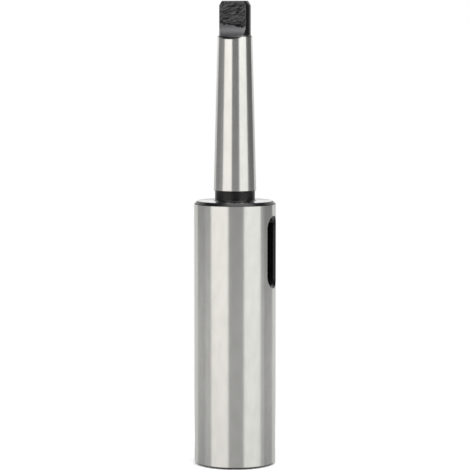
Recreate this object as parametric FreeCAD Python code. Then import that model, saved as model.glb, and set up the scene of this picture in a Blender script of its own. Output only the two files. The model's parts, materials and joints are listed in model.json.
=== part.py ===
# Morse taper extension sleeve, turned and ground from one steel bar.
#
# It carries a number 3 Morse taper socket in its large end and a number 2 Morse taper shank with a
# driving tang at its small end. It stands on the socket's mouth: the origin is the centre of the mouth
# face, +Z runs along the axis towards the tang, and the drift slot runs through along X. The tang's
# flats face +Y and -Y, so that they lie along the drift slot.
import FreeCAD, Part
import math
import os

UP = FreeCAD.Vector(0, 0, 1)
RIGHT = FreeCAD.Vector(1, 0, 0)

# --- driving dimensions, in millimetres ---------------------------------------------------------

# Body: the ground cylinder round the socket
body_dia = 34.8
body_length = 113.0
shoulder_chamfer = 1.4
mouth_chamfer = 1.0

# Neck: the grinding relief between body and shank
neck_dia = 17.0
neck_length = 4.1
neck_root_radius = 0.6

# Shank: outside Morse taper number 2
shank_gauge_dia = 17.780
shank_taper_length = 20.020  # length over which the diameter changes by one millimetre
shank_overrun = 5.5  # from the gauge plane to the shank's large end
shank_length = 80.5  # with the tang
shank_end_break = 0.45

# Tang: a turned stub on the shank's small end, milled flat on two sides
tang_dia = 13.4
tang_thickness = 6.2
tang_flat_length = 10.4  # parallel flats, from the tip to the start of the cutter's run-out
tang_run_out_radius = 6.0
tang_stub_length = 14.45  # turned diameter, from the tip to the bevel of the shank's small end
tang_tip_bevel_length = 1.9
tang_tip_bevel_deg = 30.0
shank_small_bevel_deg = 45.0

# Centre hole in the tang's tip, on which the shank is ground
centre_pilot_dia = 2.0
centre_pilot_depth = 4.4
centre_mouth_dia = 4.2
centre_cone_deg = 60.0

# Socket: inside Morse taper number 3
socket_gauge_dia = 23.825  # at the mouth face
socket_taper_length = 19.922
socket_relief_dia = 20.2  # bored clear beyond the taper's working length
socket_depth = 84.0  # to the end of the relief's round wall
socket_mouth_bevel = 0.8
drill_point_deg = 118.0

# Drift slot, across body and socket
slot_width = 8.6
slot_length = 28.6
slot_start = 77.2  # from the mouth to the slot's lower end
slot_bevel = 1.2

# Cutters run this far past the faces that they open
overrun = 2.0

# --- sizes that follow ----------------------------------------------------------------------------

body_radius = body_dia / 2
neck_top = body_length + neck_length
tip = neck_top + shank_length
shank_slope = 0.5 / shank_taper_length  # radius gained per millimetre of length
socket_slope = 0.5 / socket_taper_length
shank_large_radius = shank_gauge_dia / 2 + shank_overrun * shank_slope


def shank_radius(height):
    """Radius of the shank's taper at a height above the mouth."""
    return shank_large_radius - (height - neck_top) * shank_slope


def small_end_height():
    """Height at which the shank's taper meets the bevel that rises to the tang's stub."""
    stub_foot = tip - tang_stub_length
    rise = math.tan(math.radians(shank_small_bevel_deg))
    # bevel: radius = stub radius + (stub_foot - height) / rise; taper: radius = shank_radius(height)
    step = shank_radius(stub_foot) - tang_dia / 2
    return stub_foot - step / (1 / rise - shank_slope)


def turned(points):
    """A solid turned about the Z axis from a closed outline of (radius, height) points."""
    corners = [FreeCAD.Vector(radius, 0, height) for radius, height in points]
    outline = Part.makePolygon(corners + corners[:1])
    return Part.Face(outline).revolve(FreeCAD.Vector(0, 0, 0), UP, 360)


def body():
    """The plain ground cylinder with bevelled rims."""
    return turned(
        [
            (0, 0),
            (body_radius - mouth_chamfer, 0),
            (body_radius, mouth_chamfer),
            (body_radius, body_length - shoulder_chamfer),
            (body_radius - shoulder_chamfer, body_length),
            (0, body_length),
        ]
    )


def neck():
    """The relief's round core, with the tool's corner radius where it meets the shoulder."""
    core_radius = neck_dia / 2
    core = Part.makeCylinder(core_radius, neck_length, FreeCAD.Vector(0, 0, body_length))
    ring = turned(
        [
            (0, body_length),
            (core_radius + neck_root_radius, body_length),
            (core_radius + neck_root_radius, body_length + neck_root_radius),
            (0, body_length + neck_root_radius),
        ]
    )
    hollow = Part.makeTorus(
        core_radius + neck_root_radius,
        neck_root_radius,
        FreeCAD.Vector(0, 0, body_length + neck_root_radius),
        UP,
    )
    return core.fuse(ring.cut(hollow))


def shank():
    """The taper, its end break at the large end, its bevel at the small end and the tang's stub."""
    small_end = small_end_height()
    stub_radius = tang_dia / 2
    tip_step = tang_tip_bevel_length * math.tan(math.radians(tang_tip_bevel_deg))
    return turned(
        [
            (0, neck_top),
            (shank_large_radius - shank_end_break, neck_top),
            (shank_radius(neck_top + shank_end_break), neck_top + shank_end_break),
            (shank_radius(small_end), small_end),
            (stub_radius, tip - tang_stub_length),
            (stub_radius, tip - tang_tip_bevel_length),
            (stub_radius - tip_step, tip),
            (0, tip),
        ]
    )


def tang_cutter(side):
    """What a round-nosed cutter takes off one side of the stub; side is +1 or -1 along Y."""
    flat_y = tang_thickness / 2
    run_out_height = tip - tang_flat_length
    reach = tang_run_out_radius + shank_large_radius  # past the shank's outside on every side
    slab = Part.makeBox(
        2 * reach,
        reach,
        tang_flat_length + overrun,
        FreeCAD.Vector(-reach, flat_y, run_out_height),
    )
    nose = Part.makeCylinder(
        tang_run_out_radius,
        2 * reach,
        FreeCAD.Vector(-reach, flat_y + tang_run_out_radius, run_out_height),
        RIGHT,
    )
    cutter = slab.fuse(nose)
    if side < 0:
        cutter = cutter.mirror(FreeCAD.Vector(0, 0, 0), FreeCAD.Vector(0, 1, 0))
    return cutter


def centre_hole():
    """The sixty degree centre in the tip, with its pilot."""
    mouth_radius = centre_mouth_dia / 2
    pilot_radius = centre_pilot_dia / 2
    half_angle = math.radians(centre_cone_deg / 2)
    cone_foot = tip - (mouth_radius - pilot_radius) / math.tan(half_angle)
    pilot_end = tip - centre_pilot_depth
    point = pilot_radius / math.tan(math.radians(drill_point_deg / 2))
    return turned(
        [
            (0, tip + overrun),
            (mouth_radius + overrun * math.tan(half_angle), tip + overrun),
            (pilot_radius, cone_foot),
            (pilot_radius, pilot_end),
            (0, pilot_end - point),
        ]
    )


def socket():
    """The inside taper, with its bevelled mouth, its relief and the drill's point."""
    mouth_radius = socket_gauge_dia / 2
    relief_radius = socket_relief_dia / 2
    bevel_top = socket_mouth_bevel
    taper_end = (mouth_radius - relief_radius) / socket_slope
    point = relief_radius / math.tan(math.radians(drill_point_deg / 2))
    return turned(
        [
            (0, -overrun),
            (mouth_radius + socket_mouth_bevel + overrun, -overrun),
            (mouth_radius - bevel_top * socket_slope, bevel_top),
            (relief_radius, taper_end),
            (relief_radius, socket_depth),
            (0, socket_depth + point),
        ]
    )


def drift_slot():
    """The slot's through cutter: parallel sides and ends rounded to the milling cutter's radius."""
    end_radius = slot_width / 2
    reach = body_radius + overrun
    low = slot_start + end_radius
    high = slot_start + slot_length - end_radius
    cutter = Part.makeBox(
        2 * reach, slot_width, high - low, FreeCAD.Vector(-reach, -end_radius, low)
    )
    for height in (low, high):
        rounded_end = Part.makeCylinder(
            end_radius, 2 * reach, FreeCAD.Vector(-reach, 0, height), RIGHT
        )
        cutter = cutter.fuse(rounded_end)
    return cutter.removeSplitter()


def slot_rims(shape):
    """The edges where the drift slot breaks through the body's ground cylinder."""
    found = []
    for edge in shape.Edges:
        middle = edge.valueAt((edge.FirstParameter + edge.LastParameter) / 2)
        on_outside = abs(math.hypot(middle.x, middle.y) - body_radius) < 1e-4
        in_slot = abs(middle.y) <= slot_width / 2 + 1e-4
        between_ends = slot_start - 1e-4 <= middle.z <= slot_start + slot_length + 1e-4
        if on_outside and in_slot and between_ends:
            found.append(edge)
    return found


def sleeve():
    """The whole sleeve, one piece."""
    solid = body().fuse([neck(), shank()]).removeSplitter()
    for side in (1, -1):
        solid = solid.cut(tang_cutter(side))
    solid = solid.cut(centre_hole())
    solid = solid.cut(socket())
    solid = solid.cut(drift_slot())
    solid = solid.makeChamfer(slot_bevel, slot_rims(solid))
    return solid


def main():
    os.makedirs("parts", exist_ok=True)
    shape = sleeve()
    print("solids", len(shape.Solids), "valid", shape.isValid())
    print("volume", round(shape.Volume, 1), "box", shape.BoundBox)
    shape.exportStep("parts/sleeve.step")


main()
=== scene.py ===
import json
import math

import bpy
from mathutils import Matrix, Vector


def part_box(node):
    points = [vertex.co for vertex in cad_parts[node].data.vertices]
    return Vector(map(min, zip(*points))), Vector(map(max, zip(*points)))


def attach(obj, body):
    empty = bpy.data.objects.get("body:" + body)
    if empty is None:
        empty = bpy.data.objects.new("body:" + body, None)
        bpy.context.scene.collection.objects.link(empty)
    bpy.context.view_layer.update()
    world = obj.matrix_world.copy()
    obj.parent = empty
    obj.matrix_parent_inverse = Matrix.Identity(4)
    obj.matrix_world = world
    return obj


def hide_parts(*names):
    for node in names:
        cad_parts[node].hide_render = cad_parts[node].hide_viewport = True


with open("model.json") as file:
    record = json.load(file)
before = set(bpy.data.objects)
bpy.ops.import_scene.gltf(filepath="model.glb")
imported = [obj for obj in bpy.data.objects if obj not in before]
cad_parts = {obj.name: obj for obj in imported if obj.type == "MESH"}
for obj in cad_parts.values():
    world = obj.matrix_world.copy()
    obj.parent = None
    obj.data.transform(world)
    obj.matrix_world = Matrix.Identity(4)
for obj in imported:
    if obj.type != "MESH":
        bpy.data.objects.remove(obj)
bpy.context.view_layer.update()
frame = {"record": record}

mm = 0.001
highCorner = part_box("sleeve")[1]
mountPlace = {mount["name"]: Vector(mount["pos_m"]) / mm for mount in frame["record"]["mounts"]}

# sizes are in millimetres, and the outermost ones come from the frame

sleeveSize = {
    "bodyRadius": highCorner.x / mm,
    "tip": highCorner.z / mm,
    "shoulder": 113.0,  # height of the face round the neck
    "mouthBevel": 1.0,
    "shoulderBevel": 1.4,
    "neckRadius": 8.5,
    "neckRootRadius": 0.6,
    "neckRootSteps": 6,
    "gaugeHeight": mountPlace["shank_taper"].z,
    "gaugeRadius": 8.89,
    "shankOverrun": 5.5,  # from the gauge plane down to the shank's large end
    "shankTaperLength": 20.02,  # length in which the diameter changes by one
    "shankEndBreak": 0.45,
    "stubRadius": 6.7,
    "stubLength": 14.45,
    "tipBevelLength": 1.9,
    "tipBevelStep": 1.1,
    "centreRadius": 2.1,
    "centreHalfAngle": 30,
    "centrePilotRadius": 1.0,
    "centrePilotDepth": 4.4,
    "socketRadius": 11.9125,
    "socketTaperLength": 19.922,
    "socketBevel": 0.8,
    "reliefRadius": 10.1,
    "socketDepth": 84.0,
    "drillHalfAngle": 59,
    "edgeRounding": 0.12,
    "edgeRoundingSteps": 2,
    "turnSteps": 144,
    "smoothAngle": 30,
}

tangSize = {
    "halfThickness": 3.1,
    "flatLength": 10.4,
    "runOutRadius": 6.0,
    "runOutSteps": 24,
    "cutterReach": 12.0,
    "cutterOverTip": 2.0,
}

slotSize = {
    "width": 8.6,
    "length": 28.6,
    "start": 77.2,
    "bevel": 1.2,
    "bevelCutterEnds": (-0.3, 3.0),  # narrow and wide, in bevels out from the bevel's inner edge
    "roundSteps": 64,
}

shankFoot = sleeveSize["gaugeHeight"] - sleeveSize["shankOverrun"]
shankSlope = 0.5 / sleeveSize["shankTaperLength"]  # radius lost in each millimetre of height
socketSlope = 0.5 / sleeveSize["socketTaperLength"]
pick = 0.01  # how near a point must be to count as the one meant
weld = 0.001


def shankRadiusAt(height):
    return sleeveSize["gaugeRadius"] - (height - sleeveSize["gaugeHeight"]) * shankSlope


def socketRadiusAt(height):
    return sleeveSize["socketRadius"] - height * socketSlope


def selectOnly(piece):
    bpy.ops.object.select_all(action="DESELECT")
    piece.select_set(True)
    bpy.context.view_layer.objects.active = piece


def selectVertices(piece, wanted):
    bpy.ops.mesh.select_mode(type="VERT")
    bpy.ops.mesh.select_all(action="DESELECT")
    bpy.ops.object.mode_set(mode="OBJECT")
    for vertex in piece.data.vertices:
        vertex.select = wanted(vertex.co / mm)
    bpy.ops.object.mode_set(mode="EDIT")


def turnedSection():
    # half of the sleeve's section as radius and height, from the socket's end round to the centre hole
    s = sleeveSize
    stubFoot = s["tip"] - s["stubLength"]
    step = shankRadiusAt(stubFoot) - s["stubRadius"]
    smallEnd = stubFoot - step / (1 - shankSlope)
    drillSlope = math.tan(math.radians(s["drillHalfAngle"]))
    reliefStart = (s["socketRadius"] - s["reliefRadius"]) / socketSlope
    centreDepth = (s["centreRadius"] - s["centrePilotRadius"]) / math.tan(math.radians(s["centreHalfAngle"]))
    pilotEnd = s["tip"] - s["centrePilotDepth"]
    return [
        (0, s["socketDepth"] + s["reliefRadius"] / drillSlope),
        (s["reliefRadius"], s["socketDepth"]),
        (s["reliefRadius"], reliefStart),
        (socketRadiusAt(s["socketBevel"]), s["socketBevel"]),
        (s["socketRadius"] + s["socketBevel"], 0),
        (s["bodyRadius"] - s["mouthBevel"], 0),
        (s["bodyRadius"], s["mouthBevel"]),
        (s["bodyRadius"], s["shoulder"] - s["shoulderBevel"]),
        (s["bodyRadius"] - s["shoulderBevel"], s["shoulder"]),
        (s["neckRadius"], s["shoulder"]),
        (s["neckRadius"], shankFoot),
        (shankRadiusAt(shankFoot) - s["shankEndBreak"], shankFoot),
        (shankRadiusAt(shankFoot + s["shankEndBreak"]), shankFoot + s["shankEndBreak"]),
        (shankRadiusAt(smallEnd), smallEnd),
        (s["stubRadius"], stubFoot),
        (s["stubRadius"], s["tip"] - s["tipBevelLength"]),
        (s["stubRadius"] - s["tipBevelStep"], s["tip"]),
        (s["centreRadius"], s["tip"]),
        (s["centrePilotRadius"], s["tip"] - centreDepth),
        (s["centrePilotRadius"], pilotEnd),
        (0, pilotEnd - s["centrePilotRadius"] / drillSlope),
    ]


def turnSleeve():
    s = sleeveSize
    section = turnedSection()
    radius, height = section[0]
    bpy.ops.object.select_all(action="DESELECT")
    bpy.ops.mesh.primitive_plane_add(size=mm, location=(radius * mm, 0, height * mm))
    piece = bpy.context.object
    piece.name = "taperSleeve"
    bpy.ops.object.transform_apply(location=True, rotation=True, scale=True)
    bpy.ops.object.mode_set(mode="EDIT")
    bpy.ops.mesh.merge(type="CENTER")
    for nextRadius, nextHeight in section[1:]:
        move = ((nextRadius - radius) * mm, 0, (nextHeight - height) * mm)
        bpy.ops.mesh.extrude_vertices_move(TRANSFORM_OT_translate={"value": move})
        radius, height = nextRadius, nextHeight
    # the neck's root gets the tool's own corner radius, every other corner a fine break
    root = (s["neckRadius"], s["shoulder"])
    selectVertices(piece, lambda at: abs(at.x - root[0]) < pick and abs(at.z - root[1]) < pick)
    bpy.ops.mesh.bevel(offset=s["neckRootRadius"] * mm, segments=s["neckRootSteps"], affect="VERTICES")
    corners = [corner for corner in section[1:-1] if corner != root]
    selectVertices(piece, lambda at: any(math.dist(corner, (at.x, at.z)) < pick for corner in corners))
    bpy.ops.mesh.bevel(offset=s["edgeRounding"] * mm, segments=s["edgeRoundingSteps"], affect="VERTICES")
    bpy.ops.mesh.select_all(action="SELECT")
    bpy.ops.mesh.spin(steps=s["turnSteps"], angle=math.tau, center=(0, 0, 0), axis=(0, 0, 1))
    bpy.ops.mesh.select_all(action="SELECT")
    bpy.ops.mesh.remove_doubles(threshold=weld * mm)
    bpy.ops.mesh.normals_make_consistent(inside=False)
    bpy.ops.object.mode_set(mode="OBJECT")
    return piece


def cutAway(piece, cutter):
    cut = piece.modifiers.new("cut", "BOOLEAN")
    cut.operation = "DIFFERENCE"
    cut.solver = "MANIFOLD"
    cut.object = cutter
    selectOnly(piece)
    bpy.ops.object.modifier_apply(modifier=cut.name)
    bpy.data.objects.remove(cutter)


def tangCutter(side):
    # a block as wide as the cutter's path, one edge rounded to the cutter's nose
    s, t = sleeveSize, tangSize
    radius, reach = t["runOutRadius"], t["cutterReach"]
    inner = side * t["halfThickness"]
    low = s["tip"] - t["flatLength"] - radius
    high = s["tip"] + t["cutterOverTip"]
    size = Vector((4 * reach, reach, high - low))
    centre = Vector((0, inner + side * reach / 2, (low + high) / 2))
    bpy.ops.object.select_all(action="DESELECT")
    bpy.ops.mesh.primitive_cube_add(size=1, location=centre * mm, scale=size * mm)
    cutter = bpy.context.object
    bpy.ops.object.transform_apply(location=True, rotation=True, scale=True)
    bpy.ops.object.mode_set(mode="EDIT")
    selectVertices(cutter, lambda at: abs(at.y - inner) < pick and abs(at.z - low) < pick)
    bpy.ops.mesh.select_mode(type="EDGE")
    bpy.ops.mesh.bevel(offset=radius * mm, segments=t["runOutSteps"], affect="EDGES")
    bpy.ops.object.mode_set(mode="OBJECT")
    return cutter


def slotCutter():
    # a round bar across the body, stretched upwards into a slot with full-radius ends
    s = slotSize
    radius = s["width"] / 2
    low = s["start"] + radius
    bpy.ops.object.select_all(action="DESELECT")
    bpy.ops.mesh.primitive_cylinder_add(
        vertices=s["roundSteps"],
        radius=radius * mm,
        depth=3 * sleeveSize["bodyRadius"] * mm,
        location=(0, 0, low * mm),
        rotation=(0, math.pi / 2, 0),
    )
    cutter = bpy.context.object
    bpy.ops.object.transform_apply(location=True, rotation=True, scale=True)
    bpy.ops.object.mode_set(mode="EDIT")
    selectVertices(cutter, lambda at: at.z > low + weld)
    bpy.ops.transform.translate(value=(0, 0, (s["length"] - s["width"]) * mm))
    bpy.ops.object.mode_set(mode="OBJECT")
    return cutter


def slotBevelCutter(side):
    # the slot's outline, opened out along the body's round surface; its narrow end stands clear of
    # the slot's walls, because a cutter that only touches them can leave a lid behind
    s = slotSize
    cutter = slotCutter()
    low = s["start"] + s["width"] / 2
    high = low + s["length"] - s["width"]
    bodyRadius = sleeveSize["bodyRadius"]
    narrowEnd, wideEnd = s["bevelCutterEnds"]
    for vertex in cutter.data.vertices:
        at = vertex.co / mm
        away = Vector((at.y, at.z - min(max(at.z, low), high))).normalized()
        rimX = math.sqrt(bodyRadius ** 2 - at.y ** 2)
        inner = Vector((rimX - s["bevel"], at.y, at.z))
        edgeY = at.y + away.x * s["bevel"] * rimX / bodyRadius
        edge = Vector((math.sqrt(bodyRadius ** 2 - edgeY ** 2), edgeY, at.z + away.y * s["bevel"]))
        place = inner + (edge - inner) * (wideEnd if at.x * side > 0 else narrowEnd)
        vertex.co = Vector((side * place.x, place.y, place.z)) * mm
    selectOnly(cutter)
    bpy.ops.object.mode_set(mode="EDIT")
    bpy.ops.mesh.select_all(action="SELECT")
    bpy.ops.mesh.normals_make_consistent(inside=False)
    bpy.ops.object.mode_set(mode="OBJECT")
    return cutter


def makeSleeve():
    piece = turnSleeve()
    for side in (1, -1):
        cutAway(piece, tangCutter(side))
    cutAway(piece, slotCutter())
    for side in (1, -1):
        cutAway(piece, slotBevelCutter(side))
    selectOnly(piece)
    bpy.ops.object.mode_set(mode="EDIT")
    bpy.ops.mesh.select_all(action="SELECT")
    bpy.ops.mesh.remove_doubles(threshold=weld * mm)
    bpy.ops.object.mode_set(mode="OBJECT")
    bpy.ops.object.shade_smooth_by_angle(angle=math.radians(sleeveSize["smoothAngle"]))
    return piece


sleeve = makeSleeve()
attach(sleeve, "root")
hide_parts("sleeve")
print("sleeve:", len(sleeve.data.polygons), "faces")


def addNode(material, kind, inputs=None, **settings):
    node = material.node_tree.nodes.new(kind)
    for name, value in settings.items():
        setattr(node, name, value)
    for name, value in (inputs or {}).items():
        if isinstance(value, bpy.types.NodeSocket):
            material.node_tree.links.new(value, node.inputs[name])
        else:
            node.inputs[name].default_value = value
    return node


def newMaterial(name):
    material = bpy.data.materials.new(name)
    material.use_nodes = True
    return material, material.node_tree.nodes["Principled BSDF"]


def objectPlace(material, scale=(1, 1, 1)):
    # object coordinates in millimetres, stretched by scale
    coordinates = addNode(material, "ShaderNodeTexCoord")
    mapping = addNode(material, "ShaderNodeMapping", {
        "Vector": coordinates.outputs["Object"],
        "Scale": [v / mm for v in scale],
    })
    return mapping.outputs["Vector"]


def noise(material, place, scale=1.0, detail=3.0, roughness=0.5):
    node = addNode(material, "ShaderNodeTexNoise", {
        "Vector": place,
        "Scale": scale,
        "Detail": detail,
        "Roughness": roughness,
    })
    return node.outputs["Fac"]


def calculate(material, operation, *values):
    return addNode(material, "ShaderNodeMath", dict(enumerate(values)), operation=operation).outputs["Value"]


def spread(material, value, fromRange, toRange, kind="LINEAR"):
    node = addNode(material, "ShaderNodeMapRange", {
        "Value": value,
        "From Min": fromRange[0],
        "From Max": fromRange[1],
        "To Min": toRange[0],
        "To Max": toRange[1],
    }, interpolation_type=kind)
    return node.outputs["Result"]


def ramp(material, value, stops):
    # stops are places along a value, each with its colour
    low, high = stops[0][0], stops[-1][0]
    node = addNode(material, "ShaderNodeValToRGB", {"Fac": spread(material, value, (low, high), (0, 1))})
    elements = node.color_ramp.elements
    while len(elements) < len(stops):
        elements.new(1.0)
    for element, (place, colour) in zip(elements, stops):
        element.position = (place - low) / (high - low)
        element.color = (*colour, 1)
    return node.outputs["Color"]


def greyRamp(material, value, tones):
    return ramp(material, value, [(place, (tone, tone, tone)) for place, tone in tones])


def blend(material, amount, first, second):
    node = addNode(material, "ShaderNodeMix", {0: amount, 6: (*first, 1), 7: (*second, 1)}, data_type="RGBA")
    return node.outputs[2]


def lineBump(material, height, strength, depth):
    # depth in millimetres
    node = addNode(material, "ShaderNodeBump", {
        "Height": height,
        "Strength": strength,
        "Distance": depth * mm,
    })
    return node.outputs["Normal"]


def radialTangent(material, shader):
    # tool marks run round the axis, so highlights are drawn out across them
    tangent = addNode(material, "ShaderNodeTangent", direction_type="RADIAL", axis="Z")
    material.node_tree.links.new(tangent.outputs["Tangent"], shader.inputs["Tangent"])
    shader.inputs["Anisotropic Rotation"].default_value = 0.25  # a quarter turn


def distanceFromAxis(material, place):
    split = addNode(material, "ShaderNodeSeparateXYZ", {"Vector": place})
    flat = addNode(material, "ShaderNodeCombineXYZ", {"X": split.outputs["X"], "Y": split.outputs["Y"]})
    length = addNode(material, "ShaderNodeVectorMath", {0: flat.outputs["Vector"]}, operation="LENGTH")
    return length.outputs["Value"]


def alongAxis(material, place, axis):
    return addNode(material, "ShaderNodeSeparateXYZ", {"Vector": place}).outputs[axis]


# pattern scales are waves in a millimetre along X, Y and Z, and a bump is its strength and its depth

noiseSpan = (0.3, 0.7)  # nearly all of a noise lies between these

groundFinish = {
    "lineScale": (0.06, 0.06, 6.0),  # the wheel's lines run round the axis
    "lineDetail": 5,
    "lineRoughness": 0.6,
    "cloudScale": (0.3, 0.3, 0.12),
    "cloudSpan": (0.35, 0.65),
    "darkColour": (0.755, 0.75, 0.72),
    "lightColour": (0.8, 0.795, 0.765),
    "roughness": (0.19, 0.24),
    "anisotropy": 0.72,
    "bump": (0.08, 0.02),
}

turnedFinish = {
    "ringScale": 7.0,
    "colour": (0.7, 0.7, 0.69),
    "roughness": (0.12, 0.2),
    "anisotropy": 0.6,
    "bump": (0.2, 0.01),
}

oxideFinish = {
    "grainScale": (2.5, 2.5, 2.5),
    "grainDetail": 4,
    "darkColour": (0.002, 0.002, 0.002),
    "lightColour": (0.009, 0.009, 0.009),
    "roughness": (0.22, 0.32),
    "ior": 1.4,
    "bump": (0.2, 0.02),
}

milledFinish = {
    "streakTurn": 18,  # degrees by which the cutter's streaks slant
    "streakScale": (0.45, 0.45, 2.4),
    "streakDetail": 6,
    "streakRoughness": 0.7,
    "streakSpan": (0.4, 0.62),
    "streakTones": (0.006, 0.115),
    "lineSlant": 0.1,  # rise of the flat's lower end in each millimetre across
    "lineNoise": (0.55, 4, 0.6),  # scale, detail and roughness of its ragged edge
    "lineRagged": 0.9,
    "lineSpan": (-0.35, -0.05),
    "lineShades": [(-0.2, 1.0), (0.1, 0.15), (0.5, 0.2), (1.1, 1.0)],  # heights above it, and how light
    # painted shading of the run-out's curve, as grey tones by millimetres from the flat's lower end
    "runOutPaintedShading": [(-6, 0.012), (-5.1, 0.02), (-4.7, 0.07), (-3.5, 0.08), (-2.9, 0.085), (0, 0.12)],
    # the tang's edges: wear with a painted glint of light on it
    "wornAndGlintNoise": (1.6, 4, 0.7),
    "wornAndGlintSpan": (0.4, 0.6),
    "wornAndGlintRim": (-0.35, 0.05),  # from the stub's radius
    "wornAndGlintEnd": (-0.7, -0.1),  # from the tip
    "wornAndGlintTone": 0.12,
    "blueShare": 1.04,
    "roughness": (0.36, 0.46),
    "bump": (0.5, 0.12),
}


def groundSteel():
    g = groundFinish
    material, shader = newMaterial("groundSteel")
    link = material.node_tree.links.new
    lines = noise(material, objectPlace(material, g["lineScale"]),
                  detail=g["lineDetail"], roughness=g["lineRoughness"])
    cloud = noise(material, objectPlace(material, g["cloudScale"]))
    patches = spread(material, cloud, g["cloudSpan"], (0, 1))
    link(blend(material, patches, g["darkColour"], g["lightColour"]), shader.inputs["Base Color"])
    link(spread(material, lines, noiseSpan, g["roughness"]), shader.inputs["Roughness"])
    shader.inputs["Metallic"].default_value = 1.0
    shader.inputs["Anisotropic"].default_value = g["anisotropy"]
    radialTangent(material, shader)
    link(lineBump(material, lines, *g["bump"]), shader.inputs["Normal"])
    return material


def turnedSteel():
    # faced ends: rings of fine tool marks, smoother than the ground wall
    f = turnedFinish
    material, shader = newMaterial("turnedSteel")
    link = material.node_tree.links.new
    radius = distanceFromAxis(material, objectPlace(material))
    along = addNode(material, "ShaderNodeCombineXYZ", {"X": radius})
    rings = noise(material, along.outputs["Vector"], scale=f["ringScale"])
    shader.inputs["Base Color"].default_value = (*f["colour"], 1)
    link(spread(material, rings, noiseSpan, f["roughness"]), shader.inputs["Roughness"])
    shader.inputs["Metallic"].default_value = 1.0
    shader.inputs["Anisotropic"].default_value = f["anisotropy"]
    radialTangent(material, shader)
    link(lineBump(material, rings, *f["bump"]), shader.inputs["Normal"])
    return material


def blackOxide():
    o = oxideFinish
    material, shader = newMaterial("blackOxide")
    link = material.node_tree.links.new
    grain = noise(material, objectPlace(material, o["grainScale"]), detail=o["grainDetail"])
    link(blend(material, grain, o["darkColour"], o["lightColour"]), shader.inputs["Base Color"])
    link(spread(material, grain, noiseSpan, o["roughness"]), shader.inputs["Roughness"])
    shader.inputs["IOR"].default_value = o["ior"]
    link(lineBump(material, grain, *o["bump"]), shader.inputs["Normal"])
    return material


def milledStreaks(material, place):
    m = milledFinish
    turned = addNode(material, "ShaderNodeMapping", {
        "Vector": place,
        "Rotation": (0, math.radians(m["streakTurn"]), 0),
    })
    stretched = addNode(material, "ShaderNodeMapping", {
        "Vector": turned.outputs["Vector"],
        "Scale": m["streakScale"],
    })
    return noise(material, stretched.outputs["Vector"],
                 detail=m["streakDetail"], roughness=m["streakRoughness"])


def wornAndGlintEdges(material, place):
    # brighter along the edges, in patches: wear where wedge and spindle touch, and a painted glint where the
    # edges catch the light
    s, m = sleeveSize, milledFinish
    speckle = spread(material, noise(material, place, *m["wornAndGlintNoise"]), m["wornAndGlintSpan"], (0, 1))
    radius = distanceFromAxis(material, place)
    rim = spread(material, radius, [s["stubRadius"] + step for step in m["wornAndGlintRim"]], (0, 1))
    height = alongAxis(material, place, "Z")
    end = spread(material, height, [s["tip"] + step for step in m["wornAndGlintEnd"]], (0, 1))
    wornAndGlint = calculate(material, "MULTIPLY", calculate(material, "MAXIMUM", rim, end), speckle)
    return calculate(material, "MULTIPLY", wornAndGlint, m["wornAndGlintTone"])


def milledOxide():
    # the tang's flats: slanting cutter streaks under a dark oxide that mirrors a little, as metal does
    m = milledFinish
    material, shader = newMaterial("milledOxide")
    link = material.node_tree.links.new
    place = objectPlace(material)
    streaks = milledStreaks(material, place)
    streakTone = spread(material, streaks, m["streakSpan"], m["streakTones"])
    # below the flat the cutter's round nose ran out: smoother, and its grey is painted shading that follows
    # the curve, lighter near the flat and darker lower down, then dark at its rim
    slant = calculate(material, "MULTIPLY", alongAxis(material, place, "X"), m["lineSlant"])
    slanted = calculate(material, "ADD", alongAxis(material, place, "Z"), slant)
    level = calculate(material, "SUBTRACT", slanted, sleeveSize["tip"] - tangSize["flatLength"])
    ragged = calculate(material, "ADD", level, spread(
        material, noise(material, place, *m["lineNoise"]), noiseSpan, (-m["lineRagged"], m["lineRagged"])))
    mix = addNode(material, "ShaderNodeMix", {"Factor": spread(material, ragged, m["lineSpan"], (0, 1))})
    link(greyRamp(material, level, m["runOutPaintedShading"]), mix.inputs["A"])
    link(streakTone, mix.inputs["B"])
    shade = greyRamp(material, ragged, m["lineShades"])
    tone = calculate(material, "MULTIPLY", mix.outputs["Result"], shade)
    # the edges' wear and their painted glint make the tone lighter
    tone = calculate(material, "ADD", tone, wornAndGlintEdges(material, place))
    colour = addNode(material, "ShaderNodeCombineColor", {
        "Red": tone,
        "Green": tone,
        "Blue": calculate(material, "MULTIPLY", tone, m["blueShare"]),
    })
    link(colour.outputs["Color"], shader.inputs["Base Color"])
    shader.inputs["Metallic"].default_value = 1.0
    link(spread(material, streaks, noiseSpan, m["roughness"]), shader.inputs["Roughness"])
    link(lineBump(material, streaks, *m["bump"]), shader.inputs["Normal"])
    return material


onRound = 0.02  # how near a face's middle must be to a surface to lie on it
onTaper = 0.03
tangCore = tangSize["halfThickness"] - 0.2  # within this the tang's faces are its end, not its flats


def finishOf(centre):
    # which finish a face has, from its middle in millimetres
    s, t = sleeveSize, tangSize
    radius = math.hypot(centre.x, centre.y)
    if centre.z > shankFoot + 0.1 and abs(radius - shankRadiusAt(centre.z)) < onTaper:
        return "groundSteel"
    if centre.z > s["tip"] - t["flatLength"] - t["runOutRadius"]:
        onStub = abs(radius - s["stubRadius"]) < onRound or abs(centre.y) < tangCore
        return "blackOxide" if onStub else "milledOxide"
    if s["mouthBevel"] < centre.z < s["shoulder"] - s["shoulderBevel"] and radius > s["bodyRadius"] - onRound:
        return "groundSteel"
    if abs(centre.z - s["shoulder"]) < onRound and radius > s["neckRadius"] + s["neckRootRadius"]:
        return "turnedSteel"
    if abs(centre.z) < onRound:
        return "turnedSteel"
    if centre.z < slotSize["start"] and abs(radius - socketRadiusAt(centre.z)) < onTaper:
        return "groundSteel"
    return "blackOxide"


def finishSleeve():
    finishes = [groundSteel(), turnedSteel(), blackOxide(), milledOxide()]
    places = {material.name: place for place, material in enumerate(finishes)}
    sleeve.data.materials.clear()  # the cuts leave empty slots
    for material in finishes:
        sleeve.data.materials.append(material)
    for face in sleeve.data.polygons:
        face.material_index = places[finishOf(face.center / mm)]


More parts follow.
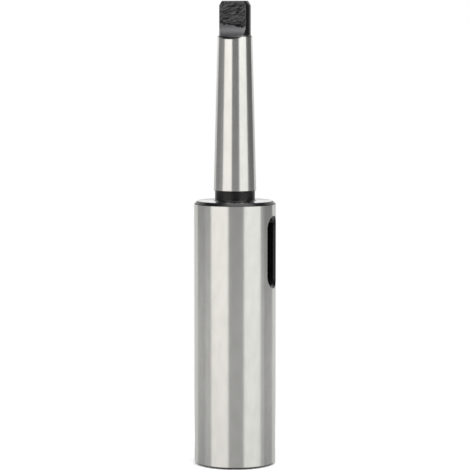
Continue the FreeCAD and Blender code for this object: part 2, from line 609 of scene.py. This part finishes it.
def trueNormals():
    # ground faces are exactly round, so their corners get the round's own direction
    mesh = sleeve.data
    ground = mesh.materials.find("groundSteel")
    normals = [corner.vector.copy() for corner in mesh.corner_normals]
    for face in mesh.polygons:
        centre = face.center / mm
        radius = math.hypot(centre.x, centre.y)
        onBody = face.material_index == ground and abs(radius - sleeveSize["bodyRadius"]) < onRound
        onShank = face.material_index == ground and abs(radius - shankRadiusAt(centre.z)) < onTaper
        if not (onBody or onShank):
            continue
        rise = shankSlope if onShank else 0
        for corner in face.loop_indices:
            at = mesh.vertices[mesh.loops[corner].vertex_index].co
            normals[corner] = Vector((at.x, at.y, rise * math.hypot(at.x, at.y))).normalized()
    mesh.normals_split_custom_set(normals)


finishSleeve()
trueNormals()
print("finishes:", [material.name for material in sleeve.data.materials])

cameraSetup = {
    "azimuth": 20.0,
    "pitch": 5.156,
    "distance": 1000.0,
    "aimHeight": 98.25,
    "lens": 179.69,
    "sensorWidth": 36,
    "clip": (0.01, 20),
}


def directionFrom(azimuth, elevation):
    # from the axis outwards: azimuth 0 is towards -Y, in degrees
    turn, rise = math.radians(azimuth), math.radians(elevation)
    return Vector((math.sin(turn) * math.cos(rise), -math.cos(turn) * math.cos(rise), math.sin(rise)))


def addCamera():
    c = cameraSetup
    back = directionFrom(c["azimuth"], c["pitch"])
    camera = bpy.data.objects.new("camera", bpy.data.cameras.new("camera"))
    bpy.context.scene.collection.objects.link(camera)
    camera.data.lens = c["lens"]
    camera.data.sensor_width = c["sensorWidth"]
    camera.data.clip_start, camera.data.clip_end = c["clip"]
    camera.location = (Vector((0, 0, c["aimHeight"])) + back * c["distance"]) * mm
    camera.rotation_euler = back.to_track_quat("Z", "Y").to_euler()
    bpy.context.scene.camera = camera


addCamera()
print("camera ready")

# the studio's azimuths are degrees from the camera and its lengths are metres; a card's tones are
# how bright it looks against white at each of toneHeights

plain = (1.0, 1.0, 1.0)
studioSetup = {
    "cardDistance": 1.3,
    "cardLow": -1.0,
    "cardHigh": 1.2,
    "cardSteps": 24,
    "cards": [
        {"name": "softboxLeft", "from": -71, "to": -18.5, "tint": (1.0, 0.98, 0.96),
         "tones": [0.72, 0.85, 0.99, 1.06, 1.09, 0.88, 1.2, 1.4]},
        {"name": "softboxRight", "from": 25, "to": 77, "tint": (0.99, 1.0, 0.975),
         "tones": [0.7, 0.82, 0.96, 0.99, 1.01, 0.84, 1.15, 1.4]},
        {"name": "cardFront", "from": -18.5, "to": 25, "tint": plain,
         "tones": [0.2, 0.42, 0.71, 0.47, 0.3, 0.25, 0.2, 0.08]},
        {"name": "cardLeft", "from": -130, "to": -92, "tint": plain,
         "tones": [0.2, 0.3, 0.68, 0.54, 0.29, 0.19, 0.28, 0.16]},
        {"name": "cardLeftNear", "from": -92, "to": -71, "tint": plain,
         "tones": [0.25, 0.38, 0.84, 0.66, 0.35, 0.25, 0.33, 0.2]},
        {"name": "cardRightNear", "from": 77, "to": 90, "tint": plain,
         "tones": [0.2, 0.42, 0.88, 0.64, 0.25, 0.21, 0.17, 0.1]},
        {"name": "cardRight", "from": 90, "to": 130, "tint": plain,
         "tones": [0.15, 0.32, 0.68, 0.48, 0.16, 0.15, 0.12, 0.06]},
        {"name": "cardBack", "from": 130, "to": 230, "tint": plain,
         "tones": [0.55, 0.6, 0.68, 0.7, 0.66, 0.58, 0.95, 1.0]},
    ],
    "toneHeights": [-0.4, -0.25, -0.15, -0.08, 0.01, 0.1, 0.22, 0.7],
    "domeRadius": 2.0,
    "domeLow": 0.9,
    "domeTone": 0.08,
    "domeSteps": (48, 24),
    "floorRadius": 3.0,
    "floorSteps": 96,
    "floorTone": 0.9,
    "floorRoughness": 0.9,
    "floorFill": 0.3,  # white that only the camera sees, added to the floor
    "floorFade": (40.0, 200.0),  # millimetres from the axis over which the floor goes to even white
    "worldTone": 0.35,
    "lamps": [
        {"name": "topBox", "azimuth": 60, "elevation": 83, "size": 0.8, "tone": 3.6},
        {"name": "highLeft", "azimuth": -40, "elevation": 46, "size": 0.6, "tone": 3.2},
        {"name": "highRight", "azimuth": 50, "elevation": 46, "size": 0.6, "tone": 3.2},
    ],
    "lampDistance": 1.1,
}


def glowMaterial(name, tones, tint):
    material = bpy.data.materials.new(name)
    material.use_nodes = True
    material.node_tree.nodes.clear()
    coordinates = addNode(material, "ShaderNodeTexCoord")
    height = alongAxis(material, coordinates.outputs["Object"], "Z")
    top = max(tones)
    stops = [(at, [channel * tone / top for channel in tint])
             for at, tone in zip(studioSetup["toneHeights"], tones)]
    glow = addNode(material, "ShaderNodeEmission", {"Color": ramp(material, height, stops), "Strength": top})
    addNode(material, "ShaderNodeOutputMaterial", {"Surface": glow.outputs["Emission"]})
    return material


def stageInReflections(thing, tones, tint=plain):
    thing.data.materials.append(glowMaterial(thing.name, tones, tint))
    thing.visible_camera = False
    thing.visible_diffuse = False
    thing.visible_shadow = False
    thing.visible_transmission = False


def addCard(card):
    # an upright sheet curved round the sleeve, made by spinning one upright edge, which turns clockwise
    s = studioSetup
    turnFrom = math.radians(cameraSetup["azimuth"] + card["from"] - 90)
    turn = math.radians(card["to"] - card["from"])
    bpy.ops.object.select_all(action="DESELECT")
    bpy.ops.mesh.primitive_plane_add(size=1)
    sheet = bpy.context.object
    sheet.name = card["name"]
    bpy.ops.object.mode_set(mode="EDIT")
    bpy.ops.mesh.select_all(action="SELECT")
    bpy.ops.mesh.merge(type="CENTER")
    bpy.ops.transform.translate(value=(
        s["cardDistance"] * math.cos(turnFrom), s["cardDistance"] * math.sin(turnFrom), s["cardLow"]))
    bpy.ops.mesh.extrude_vertices_move(
        TRANSFORM_OT_translate={"value": (0, 0, s["cardHigh"] - s["cardLow"])})
    bpy.ops.mesh.select_all(action="SELECT")
    bpy.ops.mesh.spin(steps=s["cardSteps"], angle=-turn, center=(0, 0, 0), axis=(0, 0, 1))
    bpy.ops.object.mode_set(mode="OBJECT")
    stageInReflections(sheet, card["tones"], card["tint"])


def addDome():
    # the dim upper part of the room, which only reflections show
    s = studioSetup
    across, up = s["domeSteps"]
    bpy.ops.object.select_all(action="DESELECT")
    bpy.ops.mesh.primitive_uv_sphere_add(segments=across, ring_count=up, radius=s["domeRadius"])
    dome = bpy.context.object
    dome.name = "dome"
    bpy.ops.object.mode_set(mode="EDIT")
    selectVertices(dome, lambda at: at.z < s["domeLow"] / mm)
    bpy.ops.mesh.delete(type="VERT")
    bpy.ops.object.mode_set(mode="OBJECT")
    stageInReflections(dome, [s["domeTone"]] * len(s["toneHeights"]))


def paleFloor():
    # the camera sees it a little filled near the object and even white from some distance on
    s = studioSetup
    material, shader = newMaterial("paleFloor")
    shader.inputs["Base Color"].default_value = (s["floorTone"], s["floorTone"], s["floorTone"], 1)
    shader.inputs["Roughness"].default_value = s["floorRoughness"]
    shader.inputs["Specular IOR Level"].default_value = 0.0
    distance = distanceFromAxis(material, objectPlace(material))
    away = spread(material, distance, s["floorFade"], (0, 1), "SMOOTHSTEP")
    seen = addNode(material, "ShaderNodeLightPath").outputs["Is Camera Ray"]
    fill = addNode(material, "ShaderNodeEmission", {
        "Strength": calculate(material, "MULTIPLY", s["floorFill"], seen),
    })
    near = addNode(material, "ShaderNodeAddShader", {0: shader.outputs["BSDF"], 1: fill.outputs["Emission"]})
    white = addNode(material, "ShaderNodeEmission", {"Strength": 1.0})
    mix = addNode(material, "ShaderNodeMixShader", {
        0: calculate(material, "MULTIPLY", away, seen),
        1: near.outputs["Shader"],
        2: white.outputs["Emission"],
    })
    output = material.node_tree.nodes["Material Output"]
    material.node_tree.links.new(mix.outputs["Shader"], output.inputs["Surface"])
    return material


def addFloor():
    s = studioSetup
    bpy.ops.object.select_all(action="DESELECT")
    bpy.ops.mesh.primitive_circle_add(vertices=s["floorSteps"], radius=s["floorRadius"], fill_type="NGON")
    floor = bpy.context.object
    floor.name = "floor"
    floor.data.materials.append(paleFloor())
    floor.visible_glossy = False


def addWorld():
    # white to look at and in reflections, and dimmer as a light
    world = bpy.data.worlds.new("studio")
    bpy.context.scene.world = world
    world.use_nodes = True
    path = addNode(world, "ShaderNodeLightPath").outputs
    seen = calculate(world, "ADD", path["Is Camera Ray"], path["Is Glossy Ray"])
    seenThrough = calculate(world, "ADD", seen, path["Is Transmission Ray"])
    background = world.node_tree.nodes["Background"]
    background.inputs["Color"].default_value = (1, 1, 1, 1)
    strength = spread(world, seenThrough, (0, 1), (studioSetup["worldTone"], 1.0))
    world.node_tree.links.new(strength, background.inputs["Strength"])


def addLamp(lamp):
    # tone is how bright the lamp looks against white
    away = directionFrom(cameraSetup["azimuth"] + lamp["azimuth"], lamp["elevation"])
    light = bpy.data.lights.new(lamp["name"], "AREA")
    light.shape = "SQUARE"
    light.size = lamp["size"]
    light.energy = lamp["tone"] * math.pi * lamp["size"] ** 2
    box = bpy.data.objects.new(lamp["name"], light)
    bpy.context.scene.collection.objects.link(box)
    box.location = Vector((0, 0, cameraSetup["aimHeight"] * mm)) + away * studioSetup["lampDistance"]
    box.rotation_euler = away.to_track_quat("Z", "Y").to_euler()


for card in studioSetup["cards"]:
    addCard(card)
addDome()
addFloor()
addWorld()
for lamp in studioSetup["lamps"]:
    addLamp(lamp)
bpy.context.scene.view_settings.view_transform = "Standard"
print("studio ready")
